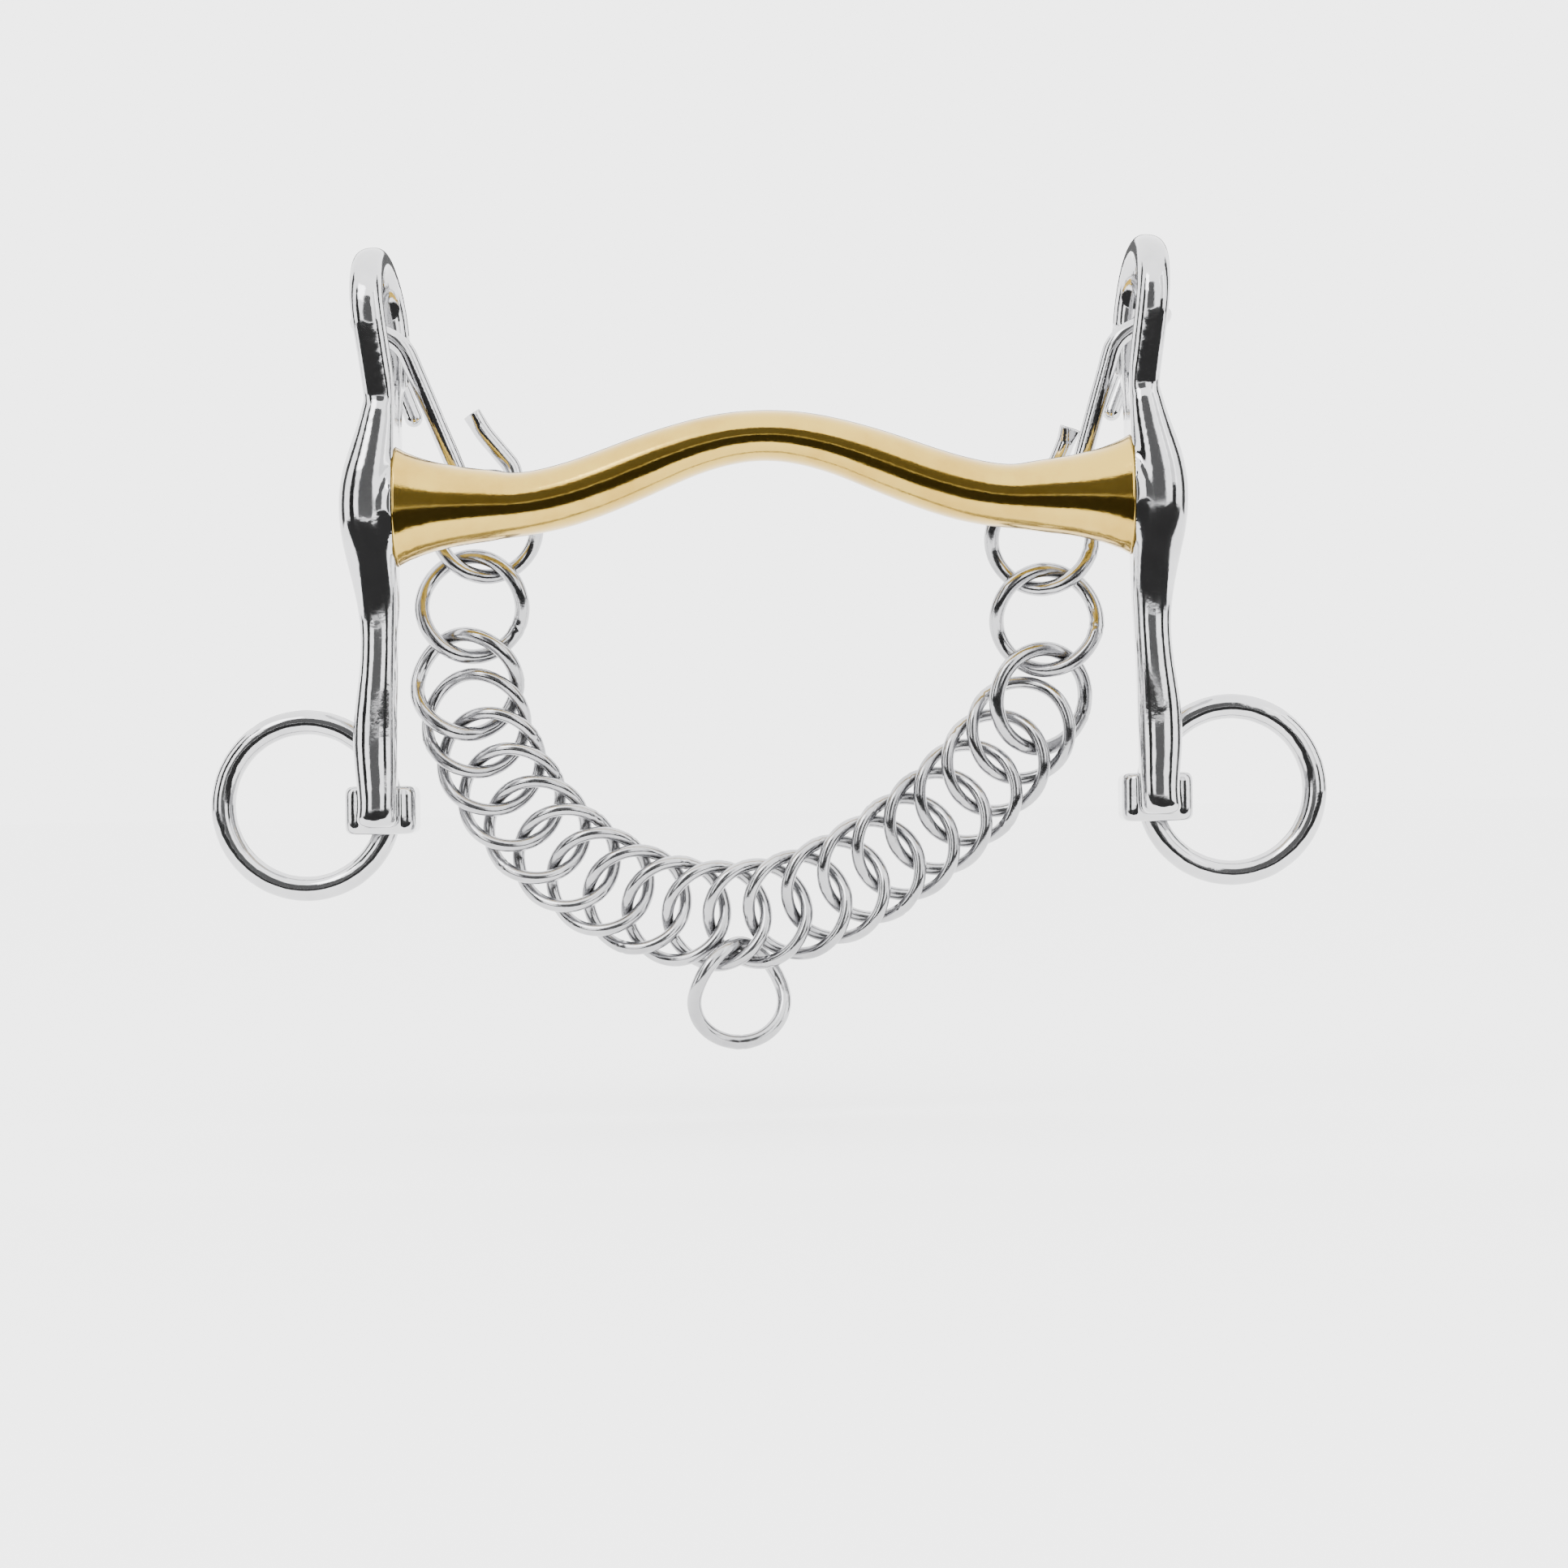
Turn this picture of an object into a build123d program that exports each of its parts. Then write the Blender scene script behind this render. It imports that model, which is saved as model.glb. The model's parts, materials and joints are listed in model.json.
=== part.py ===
"""Weymouth curb bit: ported mouthpiece, two cheeks, rein rings, curb hooks, woven curb chain.

Millimetres. X runs along the mouthpiece, +Y points to the rear (toward the chin),
+Z points up (toward the bridle eyes). The origin is midway between the two cheeks,
level with the joint between the mouthpiece ends and the cheeks.
"""
import os
from math import acos, cos, pi, radians, sin, sqrt, tan

from build123d import *

os.makedirs("parts", exist_ok=True)

# ---------------------------------------------------------------- mouthpiece
SEAT_X = 62.4                 # plane where each mouthpiece end meets its cheek
MOUTH_BASE = 0.4              # height of the bars' centreline
PORT_RISE = 11.1              # how far the port lifts the centreline
PORT_HALF = 44.5              # half the length over which the port rises
TENON_R = 3.5
TENON_DEPTH = 4.0
# distance from the middle, full height, full depth of the section
MOUTH_SECTIONS = [
    (0.0, 8.6, 11.6),
    (11.0, 9.2, 12.0),
    (22.0, 10.3, 12.6),
    (33.0, 10.7, 13.2),
    (42.0, 10.9, 13.6),
    (47.0, 12.2, 14.2),
    (52.6, 13.8, 15.0),
    (57.2, 16.0, 15.8),
    (60.6, 18.6, 16.4),
    (SEAT_X, 20.6, 16.8),
]

# -------------------------------------------------------------------- cheeks
# height, centre |X|, width (X), depth (Y) of the forged shank and boss
CHEEK_SECTIONS = [
    (-54.0, 66.9, 7.4, 8.6),
    (-46.0, 66.6, 6.9, 8.8),
    (-30.0, 66.2, 6.6, 8.8),
    (-17.0, 65.8, 6.8, 9.4),
    (-10.0, 66.4, 8.4, 12.2),
    (-5.0, 66.9, 9.3, 15.0),
    (0.0, 67.1, 9.6, 16.0),
    (5.0, 66.8, 9.3, 15.6),
    (10.0, 66.0, 8.1, 13.6),
    (15.0, 65.1, 6.6, 11.6),
    (18.5, 64.8, 5.4, 9.4),
]
CHEEK_CORNER = 0.46           # corner radius as a share of the section width
SHANK_END_R = 1.2
PAD_FRONT = (8.1, 10.1)       # half depth, half height of the seat behind the mouthpiece
PAD_BACK = (7.0, 9.2)
PAD_LENGTH = 4.6
EYE_X = 64.5                  # |X| of the eye's plane at Y = 0, Z = 20
EYE_Z = 20.0
EYE_SPLAY = 6.0               # degrees the rear of the eye turns inward
EYE_LEAN = 6.0                # degrees the top of the eye leans outward
EYE_WIDTH = 5.6
EYE_DEPTH = 5.2
EYE_CORNER = 2.3
# corners of the eye's centreline (Y, Z) and the bend radius at each
EYE_CORNERS = [
    (-6.3, 42.8, 10.2),
    (14.8, 42.8, 10.2),
    (14.8, 25.5, 14.0),
    (8.2, 16.0, 10.0),
    (7.4, 3.0, 3.0),
    (0.5, 3.0, 3.0),
    (-2.0, 17.5, 18.0),
]
LUG_SIZE = (12.2, 12.4, 8.3)
LUG_AT = (66.7, 8.9, -51.15)
LUG_ROUND = 2.5
LUG_EDGE = 1.1
BORE_AT = (66.0, 9.8)
BORE_R = 2.8

# ---------------------------------------------------------------- rein rings
REIN_R = 14.4
REIN_WIRE = 2.1
REIN_LIFT = 1.0               # ring centre above the middle of the bore
REIN_OUT = 0.475              # keeps the curved wire centred in the bore

# --------------------------------------------------------------- curb chain
CHAIN_Y = 15.0
END_R = 8.75
END_WIRE = 1.3
END_RISE = 2.0
LEFT_LAST_RISE = 3.0
RIGHT_LAST_TURN = 26.0        # degrees, the flat last ring on the right
LINK_R = 8.6
LINK_WIRE = 1.1
LINK_RISE = 2.3
LINKS = 18
PITCH = 7.15
LEFT_FIRST_PITCH = 7.0
RIGHT_LAST_PITCH = 6.6
END_PITCH = 14.2              # first to second end ring
LAST_END_PITCH = 13.6         # second to third end ring, left
RIGHT_END_PITCH = 13.8        # second to third end ring, right
LEFT_LAST_LEAN = 7.0
CHAIN_START = (-52.4, -29.5)  # X, Z of the last left end ring
# direction of the chain (degrees from +X) at four steps along it
BENDS = [(0, -82.0), (6, -32.0), (12, 26.0), (19, 58.0)]
LEFT_HANG = (-101.0, -95.0)
RIGHT_HANG = (85.0, 92.5)
FLY_R = 8.6
FLY_WIRE = 1.25
FLY_RISE = 2.4
FLY_AT = (-5.8, 14.7, -84.1)
FLY_TURN = 28.0               # degrees the left side stands forward

# --------------------------------------------------------------- curb hooks
HOOK_WIRE = 1.6
HOOK_BENDS = [10.0, 4.0, 4.0, 6.0, 4.15, 4.1, 12.0]
HOOK_LIP = (4.0, 2.3)         # width and thickness of the flattened lip at the open end
HOOK_LIP_R = 0.9
HOOK_LIP_ROOT = 3.1           # the lip grows out of the wire from this size
# bar centre |X|, Z; stem slope, twist of the open end; stem Y top, bottom; length; offset
LEFT_HOOK = (64.4, 31.0, 21.5, 30.0, 8.2, 14.0, 29.8, -2.7)
RIGHT_HOOK = (64.4, 30.0, 15.6, 65.0, 8.2, 12.4, 31.2, -3.4)
HOOK_BACK = 22.3              # Y of the wire behind the rear bar
HOOK_FRONT = 8.1              # Y of the wire in front of the rear bar
HOOK_OUT = 5.3                # how far the bend stands outside the bar


def polar(angle):
    return Vector(cos(radians(angle)), 0, sin(radians(angle)))


# ---------------------------------------------------------------- mouthpiece
def mouth_height(x):
    if abs(x) >= PORT_HALF:
        return MOUTH_BASE
    return MOUTH_BASE + PORT_RISE * (1 + cos(pi * x / PORT_HALF)) / 2


def mouth_slope(x):
    if abs(x) >= PORT_HALF:
        return 0.0
    return -PORT_RISE * pi / PORT_HALF * sin(pi * x / PORT_HALF) / 2


mouth_stations = [(-x, h, d) for x, h, d in reversed(MOUTH_SECTIONS[1:])] + MOUTH_SECTIONS

with BuildPart() as mouthpiece:
    for station_x, height, depth in mouth_stations:
        station = Plane(
            origin=(station_x, 0, mouth_height(station_x)),
            x_dir=(0, 1, 0),
            z_dir=(1, 0, mouth_slope(station_x)),
        )
        with BuildSketch(station):
            Ellipse(depth / 2, height / 2)
    loft()
    for side in (-1, 1):
        with Locations(Location((side * (SEAT_X + TENON_DEPTH / 2), 0, MOUTH_BASE), (0, 90, 0))):
            Cylinder(TENON_R, TENON_DEPTH)


# -------------------------------------------------------------------- cheeks
def eye_point(y, z):
    x = EYE_X + (z - EYE_Z) * tan(radians(EYE_LEAN)) - y * tan(radians(EYE_SPLAY))
    return Vector(x, y, z)


eye_corners = [eye_point(y, z) for y, z, bend in EYE_CORNERS]
eye_bends = [bend for y, z, bend in EYE_CORNERS]
eye_normal = (eye_corners[1] - eye_corners[0]).cross(eye_corners[0] - eye_corners[-1])

with BuildPart() as right_cheek:
    for height, centre, width, depth in CHEEK_SECTIONS:
        with BuildSketch(Plane(origin=(centre, 0, height), z_dir=(0, 0, 1))):
            RectangleRounded(width, depth, CHEEK_CORNER * width)
    loft()
    fillet(right_cheek.faces().sort_by(Axis.Z)[0].edges(), SHANK_END_R)
    with BuildSketch(Plane(origin=(SEAT_X, 0, MOUTH_BASE), x_dir=(0, 1, 0), z_dir=(1, 0, 0))):
        Ellipse(*PAD_FRONT)
    with BuildSketch(
        Plane(origin=(SEAT_X + PAD_LENGTH, 0, MOUTH_BASE), x_dir=(0, 1, 0), z_dir=(1, 0, 0))
    ):
        Ellipse(*PAD_BACK)
    loft()
    with BuildLine() as eye_path:
        FilletPolyline(*eye_corners, radius=eye_bends, close=True)
    with BuildSketch(
        Plane(origin=eye_path.line @ 0, x_dir=eye_normal, z_dir=eye_path.line % 0)
    ):
        RectangleRounded(EYE_WIDTH, EYE_DEPTH, EYE_CORNER)
    sweep(path=eye_path.line)
    with BuildPart(mode=Mode.PRIVATE) as lug:
        with Locations(LUG_AT):
            Box(*LUG_SIZE)
        fillet(lug.edges().filter_by(Axis.Z), LUG_ROUND)
        fillet(lug.faces().sort_by(Axis.Z)[0].edges(), LUG_EDGE)
        fillet(lug.faces().sort_by(Axis.Z)[-1].edges(), LUG_EDGE)
    add(lug.part)
    with Locations((BORE_AT[0], BORE_AT[1], LUG_AT[2])):
        Cylinder(BORE_R, 2 * LUG_SIZE[2], mode=Mode.SUBTRACT)
    with Locations(Location((SEAT_X - 5, 0, MOUTH_BASE))):
        Box(10, 30, 60, mode=Mode.SUBTRACT)
    with Locations(Location((SEAT_X + TENON_DEPTH / 2, 0, MOUTH_BASE), (0, 90, 0))):
        Cylinder(TENON_R, TENON_DEPTH, mode=Mode.SUBTRACT)

with BuildPart() as left_cheek:
    mirror(right_cheek.part, about=Plane.YZ)


# ---------------------------------------------------------------- rein rings
def rein_ring(side):
    with BuildPart() as ring:
        centre = (side * (BORE_AT[0] + REIN_R - REIN_OUT), BORE_AT[1], LUG_AT[2] + REIN_LIFT)
        with Locations(Location(centre, (90, 0, 0))):
            Torus(REIN_R, REIN_WIRE)
    return ring.part


with BuildPart() as left_rein_ring:
    add(rein_ring(-1))

with BuildPart() as right_rein_ring:
    add(rein_ring(1))


# --------------------------------------------------------------- curb chain
def heading(step):
    for (before, low), (after, high) in zip(BENDS, BENDS[1:]):
        if step <= after:
            return low + (high - low) * (step - before) / (after - before)
    return BENDS[-1][1]


def hang(centre, direction, turn=0.0):
    """The plane a ring lies in: X along the chain, Z to the front, turned about X."""
    across = Vector(-sin(radians(direction)), 0, cos(radians(direction)))
    facing = Vector(0, -1, 0) * cos(radians(turn)) - across * sin(radians(turn))
    return Plane(origin=centre, x_dir=polar(direction), z_dir=facing)


def saddle_ring(seat, radius, rise, wire):
    """A ring twisted to a saddle, made of four equal arcs that rise and fall in turn."""
    half_turn = acos(-4 * rise**2 / (radius**2 + 4 * rise**2)) / 2
    sagitta = radius / sqrt(2) / sin(half_turn) * (1 - cos(half_turn))
    with BuildPart() as ring:
        with BuildLine() as path:
            for quarter in range(4):
                here = Vector(radius, 0, 0).rotate(Axis.Z, 90 * quarter)
                there = Vector(radius, 0, 0).rotate(Axis.Z, 90 * (quarter + 1))
                lift = rise if quarter % 2 == 0 else -rise
                bulge = Vector(here.X + there.X, here.Y + there.Y, 4 * lift).normalized() * sagitta
                arc = [here, (here + there) * 0.5 + bulge, there]
                ThreePointArc(*[seat.from_local_coords(point) for point in arc])
        with BuildSketch(Plane(origin=path.line @ 0, z_dir=path.line % 0)):
            Circle(wire)
        sweep(path=path.line)
    return ring.part


link_steps = [heading(step + 0.5) for step in range(LINKS + 1)]
pitches = [LEFT_FIRST_PITCH] + [PITCH] * (LINKS - 1) + [RIGHT_LAST_PITCH]
link_centres = [Vector(CHAIN_START[0], CHAIN_Y, CHAIN_START[1])]
for angle, pitch in zip(link_steps, pitches):
    link_centres.append(link_centres[-1] + polar(angle) * pitch)

left_2_centre = link_centres[0] - polar(LEFT_HANG[1]) * LAST_END_PITCH
left_1_centre = left_2_centre - polar(LEFT_HANG[0]) * END_PITCH
right_2_centre = link_centres[-1] + polar(RIGHT_HANG[0]) * RIGHT_END_PITCH
right_1_centre = right_2_centre + polar(RIGHT_HANG[1]) * END_PITCH

with BuildPart() as left_end_ring_1:
    add(saddle_ring(hang(left_1_centre, LEFT_HANG[0]), END_R, -END_RISE, END_WIRE))

with BuildPart() as left_end_ring_2:
    lean = (LEFT_HANG[0] + LEFT_HANG[1]) / 2
    add(saddle_ring(hang(left_2_centre, lean), END_R, -END_RISE, END_WIRE))

with BuildPart() as left_end_ring_3:
    lean = (LEFT_HANG[1] + link_steps[0]) / 2 + LEFT_LAST_LEAN
    add(saddle_ring(hang(link_centres[0], lean), END_R, -LEFT_LAST_RISE, END_WIRE))

with BuildPart() as right_end_ring_1:
    add(saddle_ring(hang(right_1_centre, RIGHT_HANG[1]), END_R, END_RISE, END_WIRE))

with BuildPart() as right_end_ring_2:
    lean = (RIGHT_HANG[0] + RIGHT_HANG[1]) / 2
    add(saddle_ring(hang(right_2_centre, lean), END_R, END_RISE, END_WIRE))

with BuildPart() as right_end_ring_3:
    lean = (link_steps[-1] + RIGHT_HANG[0]) / 2
    add(saddle_ring(hang(link_centres[-1], lean, RIGHT_LAST_TURN), END_R, 0.0, END_WIRE))

for number in range(1, LINKS + 1):
    with BuildPart() as woven_link:
        lean = (link_steps[number - 1] + link_steps[number]) / 2
        add(saddle_ring(hang(link_centres[number], lean), LINK_R, -LINK_RISE, LINK_WIRE))
    woven_link.part.label = f"woven_link_{number:02d}"
    export_step(woven_link.part, f"parts/woven_link_{number:02d}.step")

with BuildPart() as fly_link:
    across = Vector(cos(radians(FLY_TURN)), sin(radians(FLY_TURN)), 0)
    fly_seat = Plane(origin=FLY_AT, x_dir=across, z_dir=across.cross(Vector(0, 0, 1)))
    add(saddle_ring(fly_seat, FLY_R, -FLY_RISE, FLY_WIRE))


# --------------------------------------------------------------- curb hooks
def curb_hook(side, bar_x, bar_z, slope, twist, y_top, y_bottom, length, offset):
    """Bent wire hooked round the rear bar of the eye, with a flattened lip."""
    down = Vector(-sin(radians(slope)), 0, -cos(radians(slope)))
    inward = Vector(-cos(radians(slope)), 0, sin(radians(slope)))
    across = inward * cos(radians(twist)) + Vector(0, 1, 0) * sin(radians(twist))
    stem_top = Vector(bar_x + offset, y_top, bar_z - 2.0)
    stem_foot = Vector(stem_top.X, y_bottom, stem_top.Z) + down * length
    lip_start = stem_foot + across * 7.34 - down * 13.14
    lip_end = stem_foot + across * 6.84 - down * 15.6
    corners = [
        Vector(bar_x - 3.0, HOOK_BACK - 1.9, bar_z - 13.4),
        Vector(bar_x + 1.0, HOOK_BACK + 0.1, bar_z - 3.2),
        Vector(bar_x + HOOK_OUT, HOOK_BACK - 0.1, bar_z + 1.6),
        Vector(bar_x + HOOK_OUT, HOOK_FRONT, bar_z + 2.6),
        stem_top,
        stem_foot,
        stem_foot + across * 11.88 - down * 0.1,
        stem_foot + across * 7.68 - down * 11.5,
        lip_start,
    ]
    corners = [Vector(side * c.X, c.Y, c.Z) for c in corners]
    tip = Vector(side * lip_end.X, lip_end.Y, lip_end.Z)
    lip_axis = tip - corners[-1]
    bend_normal = lip_axis.cross(corners[6] - corners[5])
    with BuildPart() as hook:
        with BuildLine() as path:
            FilletPolyline(*corners, radius=HOOK_BENDS)
        with BuildSketch(Plane(origin=path.line @ 0, z_dir=path.line % 0)):
            Circle(HOOK_WIRE)
        sweep(path=path.line)
        with Locations(path.line @ 0):
            Sphere(HOOK_WIRE)
        lip_root = corners[-1] - lip_axis.normalized() * 0.4
        with BuildSketch(Plane(origin=lip_root, x_dir=bend_normal, z_dir=lip_axis)):
            RectangleRounded(HOOK_LIP_ROOT, HOOK_LIP_ROOT, 0.48 * HOOK_LIP_ROOT)
        with BuildSketch(Plane(origin=tip, x_dir=bend_normal, z_dir=lip_axis)):
            RectangleRounded(*HOOK_LIP, HOOK_LIP_R)
        loft()
    return hook.part


with BuildPart() as left_curb_hook:
    add(curb_hook(-1, *LEFT_HOOK))

with BuildPart() as right_curb_hook:
    add(curb_hook(1, *RIGHT_HOOK))

named = {
    "mouthpiece": mouthpiece,
    "left_cheek": left_cheek,
    "right_cheek": right_cheek,
    "left_rein_ring": left_rein_ring,
    "right_rein_ring": right_rein_ring,
    "left_curb_hook": left_curb_hook,
    "right_curb_hook": right_curb_hook,
    "left_end_ring_1": left_end_ring_1,
    "left_end_ring_2": left_end_ring_2,
    "left_end_ring_3": left_end_ring_3,
    "right_end_ring_1": right_end_ring_1,
    "right_end_ring_2": right_end_ring_2,
    "right_end_ring_3": right_end_ring_3,
    "fly_link": fly_link,
}
for name, piece in named.items():
    piece.part.label = name
    export_step(piece.part, f"parts/{name}.step")
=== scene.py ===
import json
from math import acos, cos, exp, pi, radians, sin, sqrt
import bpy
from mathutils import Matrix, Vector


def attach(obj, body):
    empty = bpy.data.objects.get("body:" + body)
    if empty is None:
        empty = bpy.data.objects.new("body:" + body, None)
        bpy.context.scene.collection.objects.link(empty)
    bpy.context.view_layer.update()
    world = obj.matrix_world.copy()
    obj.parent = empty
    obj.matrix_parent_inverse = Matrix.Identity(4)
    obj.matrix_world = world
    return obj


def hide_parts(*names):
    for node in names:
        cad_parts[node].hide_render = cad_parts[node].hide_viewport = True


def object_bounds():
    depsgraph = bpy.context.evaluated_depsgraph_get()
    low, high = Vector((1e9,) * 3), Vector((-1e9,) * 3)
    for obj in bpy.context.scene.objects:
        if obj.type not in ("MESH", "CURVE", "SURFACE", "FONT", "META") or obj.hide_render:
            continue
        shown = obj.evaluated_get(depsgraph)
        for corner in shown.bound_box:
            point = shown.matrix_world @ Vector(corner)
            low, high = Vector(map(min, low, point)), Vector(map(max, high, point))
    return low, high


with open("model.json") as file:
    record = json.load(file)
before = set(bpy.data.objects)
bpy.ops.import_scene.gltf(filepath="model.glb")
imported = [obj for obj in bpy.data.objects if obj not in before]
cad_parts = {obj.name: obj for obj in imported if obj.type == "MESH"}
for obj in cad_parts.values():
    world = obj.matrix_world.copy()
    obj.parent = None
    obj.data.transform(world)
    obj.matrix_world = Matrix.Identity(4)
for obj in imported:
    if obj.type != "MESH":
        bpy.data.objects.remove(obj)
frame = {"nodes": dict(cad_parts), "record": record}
cad_box = [list(map(float, corner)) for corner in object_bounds()]

import bpy
from mathutils import Matrix, Vector, noise

MM = 0.001
BODY_OF = {
    node: body
    for body, nodes in frame["record"]["behaviour"]["bodies"].items()
    for node in nodes
}


# ------------------------------------------------------------ mesh helpers
def new_mesh(name, verts, faces):
    mesh = bpy.data.meshes.new(name)
    mesh.from_pydata([Vector(v) * MM for v in verts], [], faces)
    mesh.validate()
    for polygon in mesh.polygons:
        polygon.use_smooth = True
    obj = bpy.data.objects.new(name, mesh)
    bpy.context.scene.collection.objects.link(obj)
    return obj


def skin(rows, closed):
    """Quads between rows of points, with a fan over each end of an open tube."""
    sides = len(rows[0])
    verts = [p for row in rows for p in row]
    faces = []
    spans = len(rows) if closed else len(rows) - 1
    for i in range(spans):
        a, b = i * sides, ((i + 1) % len(rows)) * sides
        for j in range(sides):
            k = (j + 1) % sides
            faces.append((a + j, a + k, b + k, b + j))
    if not closed:
        for row, turn in ((0, 1), (len(rows) - 1, -1)):
            middle = sum((Vector(p) for p in rows[row]), Vector()) / sides
            verts.append(middle)
            for j in range(sides):
                k = (j + 1) % sides
                corners = (row * sides + k, row * sides + j, len(verts) - 1)
                faces.append(corners[::turn])
    return verts, faces


def finish_piece(obj, node, material):
    obj.data.materials.clear()
    obj.data.materials.append(material)
    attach(obj, BODY_OF[node])
    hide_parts(node)
    return obj


# ---------------------------------------------------------------- materials
def node_tree(name):
    material = bpy.data.materials.new(name)
    material.use_nodes = True
    nodes = material.node_tree.nodes
    links = material.node_tree.links
    shader = nodes["Principled BSDF"]
    return material, nodes, links, shader


def add_noise(nodes, links, vector, scale, detail=4.0, rough=0.5):
    tex = nodes.new("ShaderNodeTexNoise")
    tex.inputs["Scale"].default_value = scale
    tex.inputs["Detail"].default_value = detail
    tex.inputs["Roughness"].default_value = rough
    links.new(vector, tex.inputs["Vector"])
    return tex.outputs["Fac"]


def remap(nodes, links, value, low, high, to_low, to_high):
    node = nodes.new("ShaderNodeMapRange")
    node.inputs["From Min"].default_value = low
    node.inputs["From Max"].default_value = high
    node.inputs["To Min"].default_value = to_low
    node.inputs["To Max"].default_value = to_high
    links.new(value, node.inputs["Value"])
    return node.outputs["Result"]


def math_node(nodes, links, operation, a, b):
    node = nodes.new("ShaderNodeMath")
    node.operation = operation
    for socket, value in zip(node.inputs, (a, b)):
        if isinstance(value, (int, float)):
            socket.default_value = value
        else:
            links.new(value, socket)
    return node.outputs[0]


def mix_colour(nodes, links, factor, a, b):
    node = nodes.new("ShaderNodeMix")
    node.data_type = "RGBA"
    links.new(factor, node.inputs["Factor"])
    for socket, value in ((node.inputs[6], a), (node.inputs[7], b)):
        if isinstance(value, tuple):
            socket.default_value = (*value, 1.0)
        else:
            links.new(value, socket)
    return node.outputs[2]


def metal(name, clean, dull, shade_colour, polish, worn, scratch_axis, bump, pits):
    """Polished metal: patchy tarnish, painted shade darkening the hollows, fine scratches, soft
    unevenness.
    """
    material, nodes, links, shader = node_tree(name)
    coord = nodes.new("ShaderNodeTexCoord").outputs["Object"]
    shader.inputs["Metallic"].default_value = 1.0
    cloud = add_noise(nodes, links, coord, 95.0, 5.0, 0.6)
    fine = add_noise(nodes, links, coord, 900.0, 6.0, 0.7)
    stretch = nodes.new("ShaderNodeMapping")
    stretch.inputs["Scale"].default_value = scratch_axis
    links.new(coord, stretch.inputs["Vector"])
    scratch = add_noise(nodes, links, stretch.outputs["Vector"], 420.0, 8.0, 0.75)
    # Painted shade: ambient occlusion finds the enclosed hollows, and the base colour there is darkened
    # towards a shade colour, broken up by fine speckle.
    hollow = nodes.new("ShaderNodeAmbientOcclusion")
    hollow.samples = 8
    hollow.inputs["Distance"].default_value = 0.0035
    occlusion_shade = remap(nodes, links, hollow.outputs["AO"], 0.15, 0.75, 1.0, 0.0)
    patch = remap(nodes, links, cloud, 0.42, 0.68, 0.0, 1.0)
    colour = mix_colour(nodes, links, patch, clean, dull)
    speckle = remap(nodes, links, fine, 0.3, 0.7, 0.35, 0.9)
    # Painted shade laid into the colour: mix towards the shade colour where the hollows are enclosed.
    painted_shade_amount = math_node(nodes, links, "MULTIPLY", occlusion_shade, speckle)
    colour = mix_colour(nodes, links, painted_shade_amount, colour, shade_colour)
    links.new(colour, shader.inputs["Base Color"])
    rough = remap(nodes, links, scratch, 0.35, 0.75, polish, worn)
    rough = math_node(nodes, links, "ADD", rough, math_node(nodes, links, "MULTIPLY", occlusion_shade, 0.22))
    rough = math_node(nodes, links, "ADD", rough, remap(nodes, links, cloud, 0.35, 0.7, 0.0, 0.05))
    links.new(rough, shader.inputs["Roughness"])
    height = math_node(nodes, links, "MULTIPLY", scratch, 0.35)
    height = math_node(nodes, links, "ADD", height, math_node(nodes, links, "MULTIPLY", cloud, 2.0))
    height = math_node(nodes, links, "ADD", height, math_node(nodes, links, "MULTIPLY", fine, pits))
    relief = nodes.new("ShaderNodeBump")
    relief.inputs["Strength"].default_value = bump
    relief.inputs["Distance"].default_value = 0.00012
    links.new(height, relief.inputs["Height"])
    links.new(relief.outputs["Normal"], shader.inputs["Normal"])
    return material


# In each metal the third colour is the painted shade laid into the hollows by ambient occlusion.
forged_steel = metal(
    "forged_steel", (0.50, 0.50, 0.51), (0.42, 0.42, 0.43), (0.10, 0.10, 0.10),
    0.035, 0.09, (1.0, 1.0, 0.12), 0.30, 0.12,
)
wire_steel = metal(
    "wire_steel", (0.40, 0.40, 0.41), (0.28, 0.28, 0.29), (0.05, 0.05, 0.05),
    0.07, 0.17, (1.0, 1.0, 0.5), 0.45, 0.35,
)
gold_alloy = metal(
    "gold_alloy", (0.52, 0.35, 0.07), (0.44, 0.28, 0.05), (0.12, 0.07, 0.01),
    0.06, 0.14, (0.10, 1.0, 1.0), 0.40, 0.25,
)

# -------------------------------------------------------------- mouthpiece
SEAT_X = 62.4
MOUTH_BASE = 0.4
PORT_RISE = 11.1
PORT_HALF = 44.5
MOUTH_SECTIONS = [
    (0.0, 8.6, 11.6),
    (11.0, 9.2, 12.0),
    (22.0, 10.3, 12.6),
    (33.0, 10.7, 13.2),
    (42.0, 10.9, 13.6),
    (47.0, 12.2, 14.2),
    (52.6, 13.8, 15.0),
    (57.2, 16.0, 15.8),
    (60.6, 18.6, 16.4),
    (SEAT_X, 20.6, 16.8),
]


def mouth_height(x):
    if abs(x) >= PORT_HALF:
        return MOUTH_BASE
    return MOUTH_BASE + PORT_RISE * (1 + cos(pi * x / PORT_HALF)) / 2


def mouth_slope(x):
    if abs(x) >= PORT_HALF:
        return 0.0
    return -PORT_RISE * pi / PORT_HALF * sin(pi * x / PORT_HALF) / 2


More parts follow.
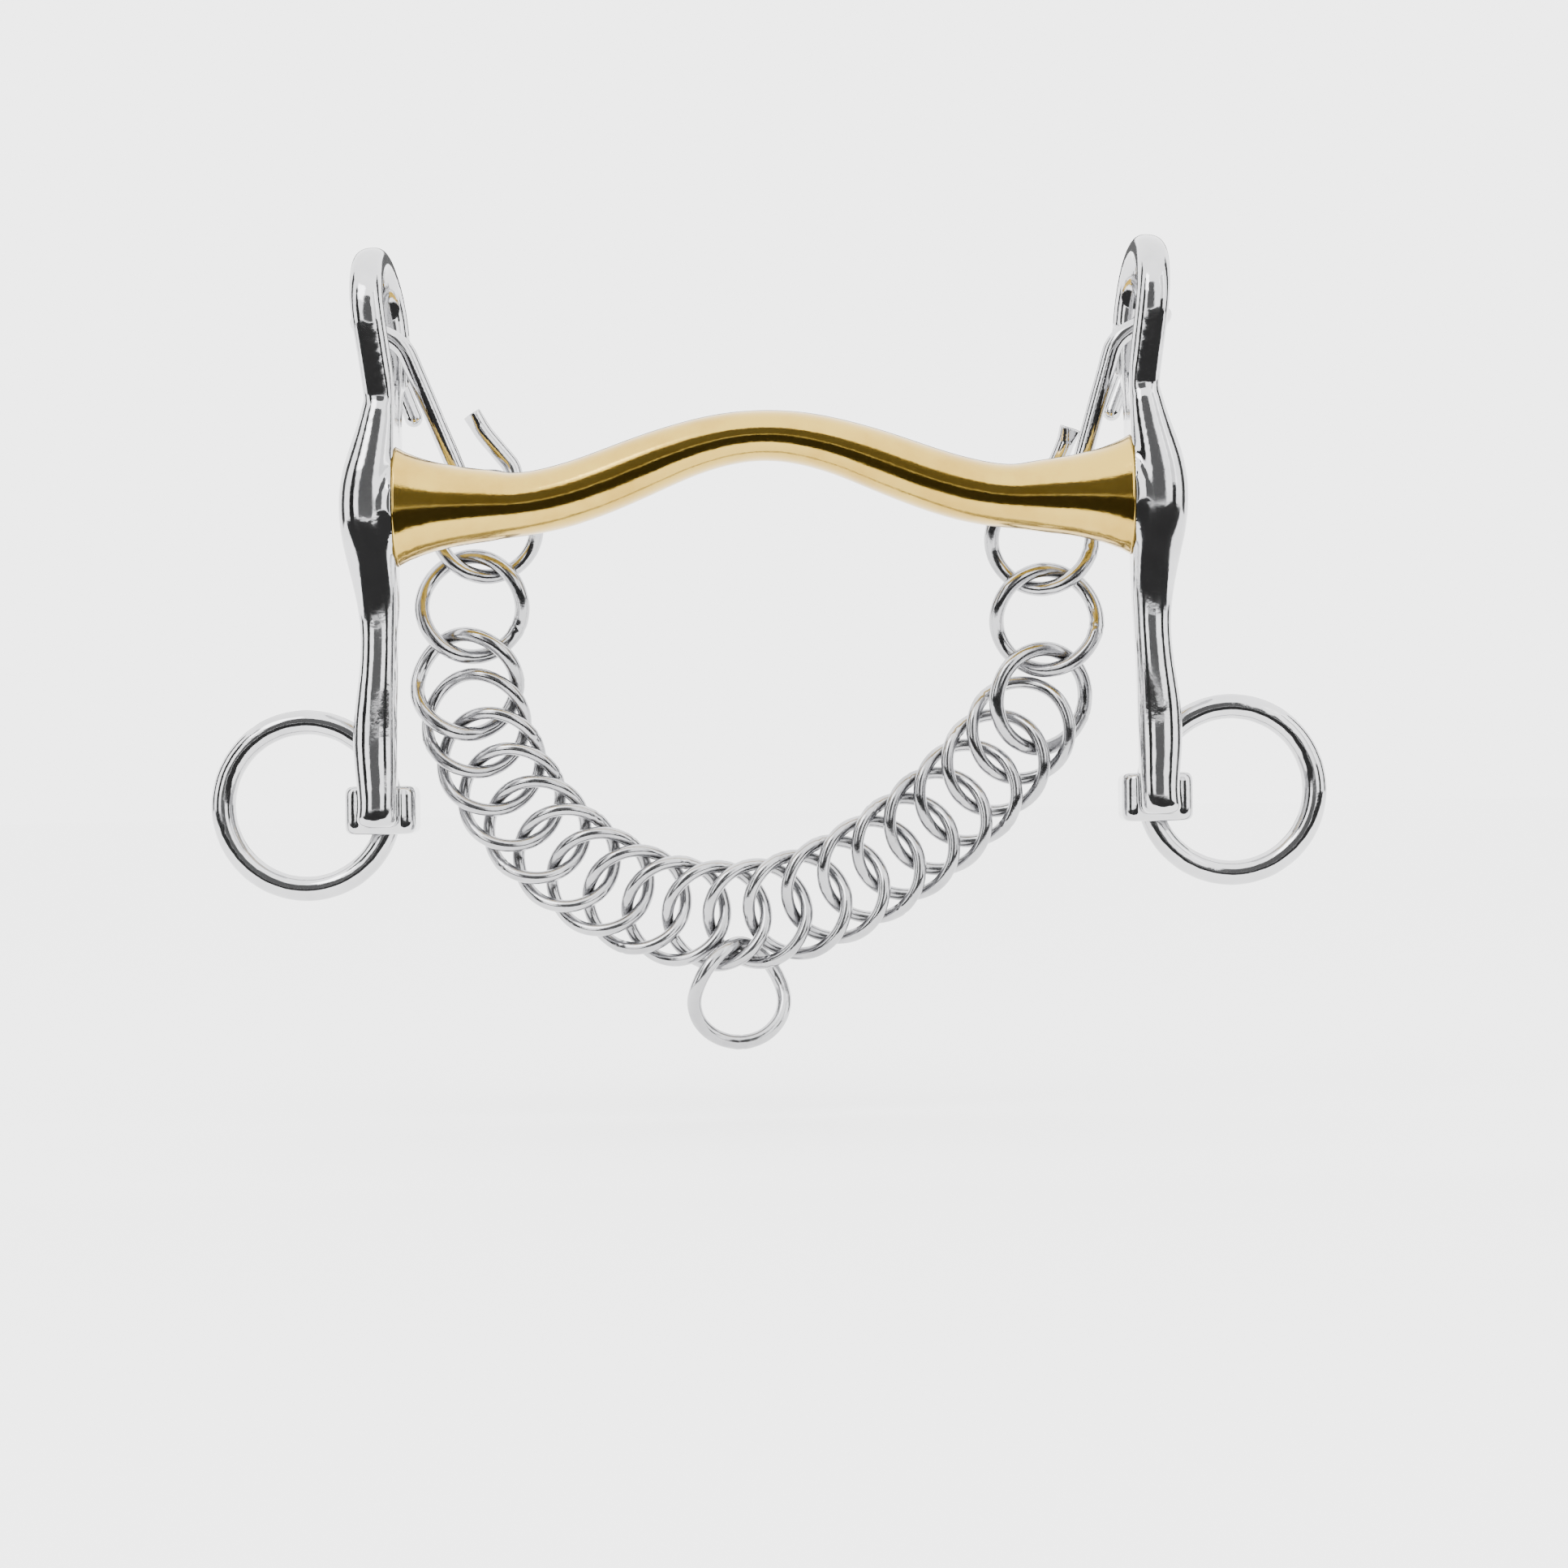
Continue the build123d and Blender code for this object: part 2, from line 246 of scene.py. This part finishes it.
def smooth_section(x):
    """Height and depth at x, on a smooth curve through the stated sections."""
    x = min(abs(x), SEAT_X)
    table = MOUTH_SECTIONS
    i = max(k for k in range(len(table) - 1) if table[k][0] <= x)
    out = []
    for column in (1, 2):
        def slope(k):
            if k == 0:
                return 0.0
            if k == len(table) - 1:
                return (table[k][column] - table[k - 1][column]) / (table[k][0] - table[k - 1][0])
            return (table[k + 1][column] - table[k - 1][column]) / (table[k + 1][0] - table[k - 1][0])
        step = table[i + 1][0] - table[i][0]
        t = (x - table[i][0]) / step
        a, b = table[i][column], table[i + 1][column]
        ma, mb = slope(i) * step, slope(i + 1) * step
        out.append(
            (2 * t**3 - 3 * t**2 + 1) * a + (t**3 - 2 * t**2 + t) * ma
            + (-2 * t**3 + 3 * t**2) * b + (t**3 - t**2) * mb
        )
    return out


def mouth_row(x, half_height, half_depth, sides, rag):
    centre = Vector((x, 0, mouth_height(x)))
    up = Vector((-mouth_slope(x), 0, 1)).normalized()
    row = []
    for j in range(sides):
        a = 2 * pi * j / sides
        p = centre + Vector((0, 1, 0)) * (half_depth * cos(a)) + up * (half_height * sin(a))
        if rag:
            out = (p - centre).normalized()
            under = max(0.0, -sin(a)) ** 2
            ripple = noise.noise(p * 0.55) * 0.10 + noise.noise(p * 1.4) * 0.06
            p -= out * rag * (0.06 + (0.35 + under) * abs(ripple))
        row.append(p)
    return row


def build_mouthpiece():
    rows = []
    spans, sides = 300, 96
    for i in range(spans + 1):
        x = -SEAT_X + 2 * SEAT_X * i / spans
        height, depth = smooth_section(x)
        near_end = max(0.0, (abs(x) - 50.0) / (SEAT_X - 50.0))
        rows.append(mouth_row(x, height / 2, depth / 2, sides, near_end))
    for side, insert in ((-1, 0), (1, len(rows))):
        tenon = [mouth_row(side * x, r, r, sides, 0.0) for x, r in ((SEAT_X, 3.5), (SEAT_X + 4.0, 3.5))]
        if side < 0:
            rows = tenon[::-1] + rows
        else:
            rows = rows + tenon
    verts, faces = skin(rows, False)
    return new_mesh("mouthpiece_alloy", verts, faces)


finish_piece(build_mouthpiece(), "mouthpiece", gold_alloy)


# --------------------------------------------------- forged and bent pieces
def forged_copy(node, voxel, passes, name):
    """The CAD node's own shape, remeshed finely and relaxed so that its joins run together."""
    source = frame["nodes"][node]
    mesh = source.data.copy()
    obj = bpy.data.objects.new(name, mesh)
    bpy.context.scene.collection.objects.link(obj)
    remesh = obj.modifiers.new("remesh", "REMESH")
    remesh.mode = "VOXEL"
    remesh.voxel_size = voxel * MM
    relax = obj.modifiers.new("relax", "SMOOTH")
    relax.factor = 0.5
    relax.iterations = passes
    graph = bpy.context.evaluated_depsgraph_get()
    baked = bpy.data.meshes.new_from_object(obj.evaluated_get(graph))
    obj.modifiers.clear()
    obj.data = baked
    moved = []
    for vertex in baked.vertices:
        lift = noise.noise(vertex.co * 160.0) * 0.05 * MM
        moved.extend(vertex.co + vertex.normal * lift)
    baked.vertices.foreach_set("co", moved)
    baked.update()
    for polygon in baked.polygons:
        polygon.use_smooth = True
    return obj


for side in ("left", "right"):
    cheek = forged_copy(f"{side}_cheek", 0.30, 30, f"{side}_cheek_forging")
    finish_piece(cheek, f"{side}_cheek", forged_steel)
    hook = forged_copy(f"{side}_curb_hook", 0.16, 8, f"{side}_hook_wire")
    finish_piece(hook, f"{side}_curb_hook", forged_steel)


# ------------------------------------------------------------ welded rings
def saddle_points(radius, rise, per_arc):
    """Centreline of a ring made of four equal arcs, in its own plane."""
    half = acos(-4 * rise**2 / (radius**2 + 4 * rise**2)) / 2
    rho = radius / sqrt(2) / sin(half)
    out = []
    for quarter in range(4):
        a = Vector((radius, 0, 0))
        a.rotate(Matrix.Rotation(pi / 2 * quarter, 3, "Z"))
        b = Vector((radius, 0, 0))
        b.rotate(Matrix.Rotation(pi / 2 * (quarter + 1), 3, "Z"))
        lift = rise if quarter % 2 == 0 else -rise
        apex = Vector((a.x + b.x, a.y + b.y, 4 * lift)).normalized()
        centre = (a + b) * 0.5 - apex * rho * cos(half)
        along = (b - a).normalized()
        for k in range(per_arc):
            t = -half + 2 * half * k / per_arc
            out.append(centre + (apex * cos(t) + along * sin(t)) * rho)
    return out


def welded_ring(name, seat, radius, rise, wire, weld_at, seed, bulge=0.07, sides=22, per_arc=36):
    """seat is (origin, x, y, z) of the ring's plane. weld_at is the weld's place, 0 to 1."""
    origin, ax, ay, az = seat
    local = saddle_points(radius, rise, per_arc)
    count = len(local)
    rows = []
    length = 2 * pi * radius
    for i, p in enumerate(local):
        before, after = local[i - 1], local[(i + 1) % count]
        tangent = (after - before).normalized()
        flat = Vector((0, 0, 1))
        outward = tangent.cross(flat).normalized()
        upward = outward.cross(tangent).normalized()
        gap = abs((i / count - weld_at + 0.5) % 1.0 - 0.5) * length
        lump = bulge * (exp(-((gap / 1.2) ** 2)) - 1.3 * exp(-((gap / 0.32) ** 2)))
        row = []
        for j in range(sides):
            a = 2 * pi * j / sides
            spot = Vector((p.x * 0.5 + seed * 7.3, p.y * 0.5, p.z * 0.5 + a * 0.35))
            rough = noise.noise(spot) * 0.018
            rough += noise.noise(spot * 4.0) * bulge * 0.7 * exp(-((gap / 1.6) ** 2))
            r = wire * (1 + lump + rough)
            q = p + (outward * cos(a) + upward * sin(a)) * r
            row.append(origin + ax * q.x + ay * q.y + az * q.z)
        rows.append(row)
    verts, faces = skin(rows, True)
    return new_mesh(name, verts, faces)


def polar(angle):
    return Vector((cos(radians(angle)), 0, sin(radians(angle))))


def hang(centre, direction, turn=0.0):
    along = polar(direction)
    across = Vector((-sin(radians(direction)), 0, cos(radians(direction))))
    facing = Vector((0, -1, 0)) * cos(radians(turn)) - across * sin(radians(turn))
    return Vector(centre), along, facing.cross(along), facing


CHAIN_Y = 15.0
END_R, END_WIRE, END_RISE = 8.75, 1.3, 2.0
LEFT_LAST_RISE, RIGHT_LAST_TURN, LEFT_LAST_LEAN = 3.0, 26.0, 7.0
LINK_R, LINK_WIRE, LINK_RISE, LINKS = 8.6, 1.1, 2.3, 18
PITCH, LEFT_FIRST_PITCH, RIGHT_LAST_PITCH = 7.15, 7.0, 6.6
END_PITCH, LAST_END_PITCH, RIGHT_END_PITCH = 14.2, 13.6, 13.8
CHAIN_START = (-52.4, -29.5)
BENDS = [(0, -82.0), (6, -32.0), (12, 26.0), (19, 58.0)]
LEFT_HANG = (-101.0, -95.0)
RIGHT_HANG = (85.0, 92.5)


def heading(step):
    for (before, low), (after, high) in zip(BENDS, BENDS[1:]):
        if step <= after:
            return low + (high - low) * (step - before) / (after - before)
    return BENDS[-1][1]


steps = [heading(k + 0.5) for k in range(LINKS + 1)]
pitches = [LEFT_FIRST_PITCH] + [PITCH] * (LINKS - 1) + [RIGHT_LAST_PITCH]
centres = [Vector((CHAIN_START[0], CHAIN_Y, CHAIN_START[1]))]
for angle, pitch in zip(steps, pitches):
    centres.append(centres[-1] + polar(angle) * pitch)
left_2 = centres[0] - polar(LEFT_HANG[1]) * LAST_END_PITCH
left_1 = left_2 - polar(LEFT_HANG[0]) * END_PITCH
right_2 = centres[-1] + polar(RIGHT_HANG[0]) * RIGHT_END_PITCH
right_1 = right_2 + polar(RIGHT_HANG[1]) * END_PITCH

left_last_heading = (LEFT_HANG[1] + steps[0]) / 2 + LEFT_LAST_LEAN
end_rings = [
    ("left_end_ring_1", hang(left_1, LEFT_HANG[0]), -END_RISE, 0.30),
    ("left_end_ring_2", hang(left_2, sum(LEFT_HANG) / 2), -END_RISE, 0.20),
    ("left_end_ring_3", hang(centres[0], left_last_heading), -LEFT_LAST_RISE, 0.22),
    ("right_end_ring_1", hang(right_1, RIGHT_HANG[1]), END_RISE, 0.70),
    ("right_end_ring_2", hang(right_2, sum(RIGHT_HANG) / 2), END_RISE, 0.72),
    ("right_end_ring_3", hang(centres[-1], (steps[-1] + RIGHT_HANG[0]) / 2, RIGHT_LAST_TURN), 0.0, 0.75),
]
for number, (node, seat, rise, weld_at) in enumerate(end_rings):
    ring = welded_ring(f"{node}_wire", seat, END_R, rise, END_WIRE, weld_at, number + 40.0)
    finish_piece(ring, node, wire_steel)

for number in range(1, LINKS + 1):
    node = f"woven_link_{number:02d}"
    seat = hang(centres[number], (steps[number - 1] + steps[number]) / 2)
    weld_at = (0.23, 0.77, 0.26)[number % 3]
    ring = welded_ring(f"{node}_wire", seat, LINK_R, -LINK_RISE, LINK_WIRE, weld_at, number * 1.0)
    finish_piece(ring, node, wire_steel)

FLY_R, FLY_WIRE, FLY_RISE = 8.6, 1.25, 2.4
FLY_AT, FLY_TURN = (-5.8, 14.7, -84.1), 28.0
fly_along = Vector((cos(radians(FLY_TURN)), sin(radians(FLY_TURN)), 0))
fly_facing = fly_along.cross(Vector((0, 0, 1)))
fly_seat = (Vector(FLY_AT), fly_along, Vector((0, 0, 1)), fly_facing)
fly = welded_ring("fly_link_wire", fly_seat, FLY_R, -FLY_RISE, FLY_WIRE, 0.755, 99.0)
finish_piece(fly, "fly_link", wire_steel)

REIN_R, REIN_WIRE = 14.4, 2.1
BORE_X, BORE_Y, REIN_Z = 66.0, 9.8, -50.15
REIN_INSET = 0.475
for side, sign in (("left", -1), ("right", 1)):
    centre = Vector((sign * (BORE_X + REIN_R - REIN_INSET), BORE_Y, REIN_Z))
    seat = (centre, Vector((1, 0, 0)), Vector((0, 0, 1)), Vector((0, -1, 0)))
    ring = welded_ring(
        f"{side}_rein_ring_wire", seat, REIN_R, 0.0, REIN_WIRE, 0.5 if sign < 0 else 0.0, sign * 5.0,
        bulge=0.0, sides=36, per_arc=60,
    )
    finish_piece(ring, f"{side}_rein_ring", forged_steel)


# ------------------------------------------------------------------- stage
def stage_plane(name, centre, size, normal, material):
    mesh = bpy.data.meshes.new(name)
    w, h = size[0] / 2, size[1] / 2
    mesh.from_pydata([(-w, -h, 0), (w, -h, 0), (w, h, 0), (-w, h, 0)], [], [(0, 1, 2, 3)])
    obj = bpy.data.objects.new(name, mesh)
    obj.location = centre
    obj.rotation_mode = "QUATERNION"
    obj.rotation_quaternion = Vector(normal).to_track_quat("Z", "Y")
    bpy.context.scene.collection.objects.link(obj)
    mesh.materials.append(material)
    return obj


def glow(name, level):
    material, nodes, links, shader = node_tree(name)
    nodes.remove(shader)
    emission = nodes.new("ShaderNodeEmission")
    emission.inputs["Color"].default_value = (level, level, level, 1)
    emission.inputs["Strength"].default_value = 1.0
    links.new(emission.outputs[0], nodes["Material Output"].inputs["Surface"])
    return material


floor_material, floor_nodes, floor_links, floor_shader = node_tree("pale_floor")
floor_shader.inputs["Base Color"].default_value = (0.97, 0.97, 0.97, 1)
floor_shader.inputs["Roughness"].default_value = 0.9
stage_plane("floor", (0, 0, cad_box[0][2] - 0.012), (14, 14), (0, 0, 1), floor_material)

cards = [
    # name, direction from the front, distance, width, height, middle height, level
    ("card_front", -4.0, 1.6, 1.15, 1.50, 0.45, 0.24),
    ("card_front_left", -54.0, 1.6, 0.62, 2.2, 0.3, 0.05),
    ("card_front_right", 50.0, 1.6, 0.55, 2.2, 0.3, 0.05),
    ("card_left", -104.0, 1.6, 0.60, 2.2, 0.3, 0.12),
    ("card_right", 104.0, 1.6, 0.60, 2.2, 0.3, 0.12),
    ("card_back", 180.0, 1.7, 1.6, 0.45, 0.5, 0.25),
]
stage_cards = []
for name, side_angle, reach, width, height, middle, level in cards:
    centre = (sin(radians(side_angle)) * reach, -cos(radians(side_angle)) * reach, middle)
    size = (width, height)
    stage_cards.append(
        stage_plane(name, centre, size, -Vector((centre[0], centre[1], 0.0)), glow(name, level))
    )
floor_z = cad_box[0][2] - 0.004
stage_cards.append(
    stage_plane("card_low", (0, -0.62, floor_z), (2.6, 1.06), (0, 0, 1), glow("card_low", 0.07))
)
for card in stage_cards:
    card.visible_camera = False
    card.visible_diffuse = False
    card.visible_shadow = False

world = bpy.data.worlds.new("studio")
bpy.context.scene.world = world
world.use_nodes = True
background = world.node_tree.nodes["Background"]
background.inputs["Color"].default_value = (1.0, 1.0, 1.0, 1)
background.inputs["Strength"].default_value = 4.2


def area_light(name, location, size, power):
    data = bpy.data.lights.new(name, "AREA")
    data.shape = "RECTANGLE"
    data.size, data.size_y = size
    data.energy = power
    obj = bpy.data.objects.new(name, data)
    obj.location = location
    obj.rotation_mode = "QUATERNION"
    aim = Vector((0, 0, -0.03)) - Vector(location)
    obj.rotation_quaternion = aim.to_track_quat("-Z", "Y")
    bpy.context.scene.collection.objects.link(obj)
    return obj


area_light("key", (-0.55, -0.75, 0.75), (0.5, 0.5), 5.0)
area_light("fill", (0.8, -0.6, 0.45), (0.5, 0.7), 3.0)

# ------------------------------------------------------------------ camera
CAMERA_AT = Vector((2.62, -600.0, -47.84)) * MM
camera_data = bpy.data.cameras.new("camera")
camera_data.sensor_width = 36.0
camera_data.lens = 36.0 * 600.0 / 266.85
camera = bpy.data.objects.new("camera", camera_data)
turn = Matrix.Rotation(pi / 2, 4, "X") @ Matrix.Rotation(radians(-1.0), 4, "Z")
camera.matrix_world = Matrix.Translation(CAMERA_AT) @ turn
bpy.context.scene.collection.objects.link(camera)
bpy.context.scene.camera = camera
